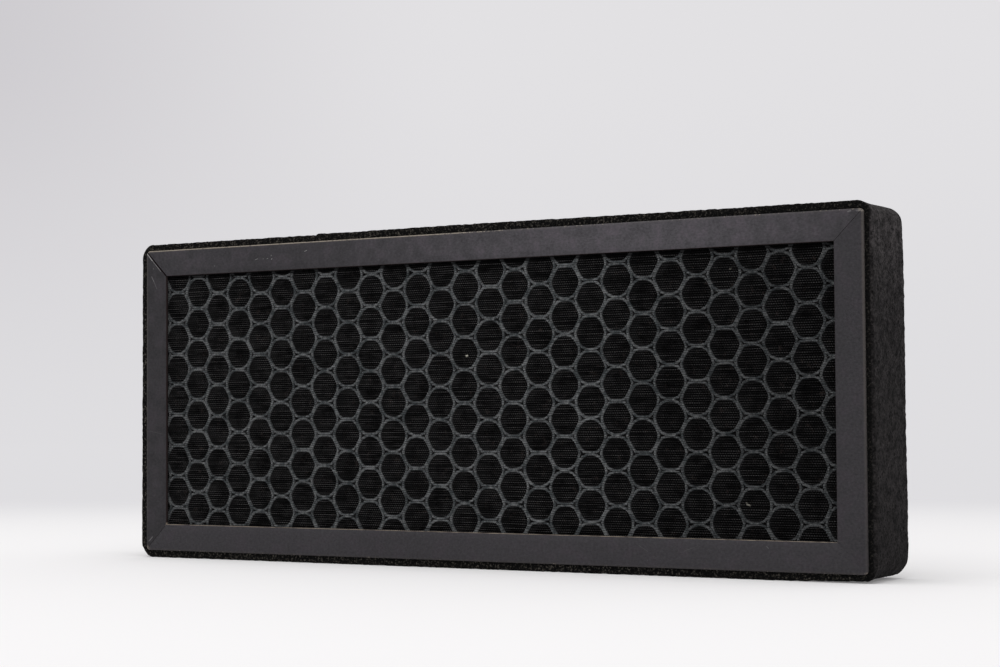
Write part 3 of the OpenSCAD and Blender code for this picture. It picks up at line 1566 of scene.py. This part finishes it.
@dataclass
class Screen:
    """Fine woven mesh that is bonded to one face of the core."""

    node: str
    thread_pitch: float = 0.545
    warp_pitch: float = 0.3
    thread: float = 0.14
    thread_lifts: Point = (0.06, 0.13)
    thread_rings: int = 22
    thread_sides: int = 5
    warp: float = 0.07
    warp_lift: float = 0.15
    warp_rings: int = 9
    warp_sides: int = 4
    waver: float = 0.16
    # Colours of the painted highlights on the weft and warp crowns.
    weft_crown_highlight: Colour = (0.136, 0.132, 0.133)
    warp_crown_highlight: Colour = (0.004, 0.004, 0.0042)

    def thread_points(
        self, start: Point, end: Point, stations: int, depth: float, size: float, sides: int
    ) -> np.ndarray:
        """Makes one thread as rings of points.

        Args:
            start: Where it starts, along X and Z.
            end: Where it ends.
            stations: Number of rings.
            depth: Its place along Y.
            size: Its thickness.
            sides: Points in each ring.

        Returns:
            The points.
        """
        run = np.array(end) - np.array(start)
        flat = abs(run[0]) > abs(run[1])
        points = []
        for station in range(stations):
            share = station / (stations - 1)
            x, z = np.array(start) + run * share
            inside = min(1.0, share * 12, (1 - share) * 12)
            shift = wobble(x * 0.045, z * 0.045, 1.0 if flat else 6.0, 2.5) * self.waver * inside
            for side in range(sides):
                angle = 2 * math.pi * (side + 0.5) / sides
                over, aside = math.sin(angle) * size / 2, math.cos(angle) * size / 2
                aside = aside + shift
                points.append((x, depth + over, z + aside) if flat else (x + aside, depth - over, z))
        return np.array(points)

    def build(self) -> bpy.types.Object:
        """Makes the screen.

        Returns:
            The piece.
        """
        box = Box.of(self.node)
        data = MeshData()
        edge = self.thread
        rows = int((box.size.z - 2 * edge) / self.thread_pitch)
        low_row = box.middle.z - rows * self.thread_pitch / 2
        outward = 1 if box.middle.y > 0 else -1
        inner = box.middle.y - outward * box.size.y / 2
        for row in range(rows + 1):
            z = low_row + row * self.thread_pitch
            depth = inner + outward * (self.thread / 2 + self.thread_lifts[row % 2])
            rings, sides = self.thread_rings, self.thread_sides
            points = self.thread_points((box.low.x, z), (box.high.x, z), rings, depth, self.thread, sides)
            data.add(points, ring_faces(rings, sides))
        columns = int((box.size.x - 2 * edge) / self.warp_pitch)
        low_column = box.middle.x - columns * self.warp_pitch / 2
        for column in range(columns + 1):
            x = low_column + column * self.warp_pitch
            depth = inner + outward * (self.warp / 2 + self.warp_lift)
            rings, sides = self.warp_rings, self.warp_sides
            points = self.thread_points((x, box.low.z), (x, box.high.z), rings, depth, self.warp, sides)
            data.add(points, ring_faces(rings, sides), slot=1)
        window_top = Box.of("card_frame").high.z - FLANGE
        pitches = (self.thread_pitch, self.warp_pitch)
        weft = ScreenFinish("weft_thread", *pitches, window_top, self.weft_crown_highlight)
        warp = ScreenFinish("warp_thread", *pitches, window_top, self.warp_crown_highlight)
        piece = data.make(f"woven_{self.node}", [weft.build(), warp.build()])
        return dress(piece, "mesh", self.node)


@dataclass(frozen=True)
class Studio:
    """A pale floor that runs out into a pale background, with plain soft light."""

    floor_radius: float = 3.0
    depth_way: Point = (-0.521, 0.854)
    white: Colour = (0.930, 0.918, 0.925)
    bright: Colour = (0.922, 0.910, 0.916)
    diffuse_share: float = 0.6
    grey: Colour = (0.738, 0.730, 0.750)
    light_grey: Colour = (0.762, 0.752, 0.770)
    dim: Colour = (0.600, 0.585, 0.612)
    contact_glow: float = 0.16
    footprint: Point = (103.0, 9.0)
    ambient: float = 0.66
    lamp_place: tuple[float, float, float] = (0.0, -0.35, 1.0)
    lamp_size: float = 1.2
    lamp_power: float = 6.0

    @staticmethod
    def seen(graph: Graph) -> Value:
        """Tells camera, mirror and clear rays from the rays that light the object.

        Args:
            graph: The graph to add to.

        Returns:
            1 for rays that show the background.
        """
        rays = graph.node("ShaderNodeLightPath")
        names = ("Is Camera Ray", "Is Glossy Ray", "Is Transmission Ray")
        camera, glossy, clear = (Value(graph, rays.outputs[name]) for name in names)
        return camera.most(glossy).most(clear)

    def floor_material(self) -> bpy.types.Material:
        """Makes the floor white near the object and as grey as the background far off.

        Returns:
            The material.
        """
        material, graph = new_material("studio_floor")
        x, y, _ = graph.parts(graph.position())
        deep = x * self.depth_way[0] + y * self.depth_way[1]
        aside = x * self.depth_way[1] - y * self.depth_way[0]
        far = (deep + aside * 0.18).step(40.0, 450.0)
        colour = graph.mix(far, self.bright, self.grey)
        plain = graph.node("ShaderNodeBsdfDiffuse", inputs={"Color": self.white})
        glow = graph.node("ShaderNodeEmission", inputs={"Color": colour, "Strength": 1.0})
        distance = (x * x + y * y).root()
        beside = (abs(x) - self.footprint[0]).most(0.0)
        before = (abs(y) - self.footprint[1]).most(0.0)
        away = (beside * beside + before * before).root().step(0.0, 38.0)
        near_share = self.contact_glow + away * (1 - self.diffuse_share - self.contact_glow)
        share = self.seen(graph) * (near_share + distance.step(160.0, 450.0) * self.diffuse_share)
        both = graph.node("ShaderNodeMixShader", inputs={0: share, 1: plain.outputs[0], 2: glow.outputs[0]})
        graph.node("ShaderNodeOutputMaterial", inputs={"Surface": both.outputs[0]})
        return material

    def build_floor(self) -> bpy.types.Object:
        """Makes the floor.

        Returns:
            The floor, marked as stage.
        """
        ring = [math.radians(a) for a in range(0, 360, 5)]
        mesh = bpy.data.meshes.new("floor")
        points = [(self.floor_radius * math.cos(a), self.floor_radius * math.sin(a), 0.0) for a in ring]
        mesh.from_pydata(points, [], [list(range(len(ring)))])
        mesh.materials.append(self.floor_material())
        floor = bpy.data.objects.new("floor", mesh)
        bpy.context.scene.collection.objects.link(floor)
        return floor

    def build_world(self) -> bpy.types.World:
        """Makes the even light all round and the pale background.

        Returns:
            The world.
        """
        world = bpy.data.worlds.new("studio")
        world.use_nodes = True
        graph = Graph(world.node_tree)
        way = graph.node("ShaderNodeTexCoord").outputs["Generated"]
        x, _, z = graph.parts(way)
        dim = z.step(-0.03, 0.2) * (x * -1.0).step(0.52, 0.74)
        colour = graph.mix(dim, graph.mix(z.step(0.02, 0.18), self.grey, self.light_grey), self.dim)
        inputs = {"Color": (1.0, 1.0, 1.0), "Strength": self.ambient}
        light = graph.node("ShaderNodeBackground", inputs=inputs)
        shown = graph.node("ShaderNodeBackground", inputs={"Color": colour, "Strength": 1.0})
        inputs = {0: self.seen(graph), 1: light.outputs[0], 2: shown.outputs[0]}
        both = graph.node("ShaderNodeMixShader", inputs=inputs)
        graph.node("ShaderNodeOutputWorld", inputs={"Surface": both.outputs[0]})
        bpy.context.scene.world = world
        return world

    @staticmethod
    def add_lamp(
        name: str, place: tuple[float, float, float], size: float, power: float
    ) -> bpy.types.Object:
        """Adds a square soft lamp that points at the filter.

        Args:
            name: The lamp's name.
            place: Where it hangs, in metres.
            size: Its side, in metres.
            power: Its power, in watts.

        Returns:
            The lamp.
        """
        data = bpy.data.lights.new(name, "AREA")
        data.size = size
        data.energy = power
        lamp = bpy.data.objects.new(name, data)
        lamp.location = place
        aim = Vector((0.0, 0.0, 0.04)) - Vector(place)
        lamp.rotation_euler = aim.to_track_quat("-Z", "Y").to_euler()
        bpy.context.scene.collection.objects.link(lamp)
        return lamp

    def build(self) -> None:
        """Makes the floor, the background and the lamp."""
        self.build_floor()
        self.build_world()
        self.add_lamp("overhead", self.lamp_place, self.lamp_size, self.lamp_power)


@dataclass(frozen=True)
class PhotoCamera:
    """The photograph's view, found from the honeycomb and the frame's straight edges."""

    place: tuple[float, float, float] = (0.27069, -0.43886, 0.03599)
    yaw: float = math.radians(31.386)
    pitch: float = math.radians(2.340)
    roll: float = math.radians(-0.349)
    lens: float = 75.6
    sensor: float = 36.0

    def build(self) -> bpy.types.Object:
        """Makes the camera.

        Returns:
            The camera.
        """
        forward = Vector((
            -math.sin(self.yaw) * math.cos(self.pitch),
            math.cos(self.yaw) * math.cos(self.pitch),
            math.sin(self.pitch),
        ))
        level = Vector((math.cos(self.yaw), math.sin(self.yaw), 0.0))
        above = level.cross(forward)
        right = level * math.cos(self.roll) + above * math.sin(self.roll)
        up = above * math.cos(self.roll) - level * math.sin(self.roll)
        data = bpy.data.cameras.new("photo_view")
        data.lens = self.lens
        data.sensor_width = self.sensor
        camera = bpy.data.objects.new("photo_view", data)
        turn = Matrix((right, up, -forward)).transposed().to_4x4()
        camera.matrix_world = Matrix.Translation(self.place) @ turn
        bpy.context.scene.collection.objects.link(camera)
        bpy.context.scene.camera = camera
        return camera


def main() -> None:
    """Builds the studio and every piece of the filter."""
    logging.basicConfig(level=logging.INFO, format="%(name)s: %(message)s")
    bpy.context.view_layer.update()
    bpy.context.scene.view_settings.view_transform = "Standard"
    PhotoCamera().build()
    Studio().build()
    CardFrame().build()
    FoamStrip().build()
    lattice = Lattice()
    HoneycombCore(lattice).build()
    fill = CarbonFill(lattice)
    fill.build(Face.FRONT, per_cell=22, seed=11)
    fill.build(Face.BACK, per_cell=14, seed=12)
    Screen("front_mesh").build()
    Screen("back_mesh").build()


if __name__ == "__main__":
    main()
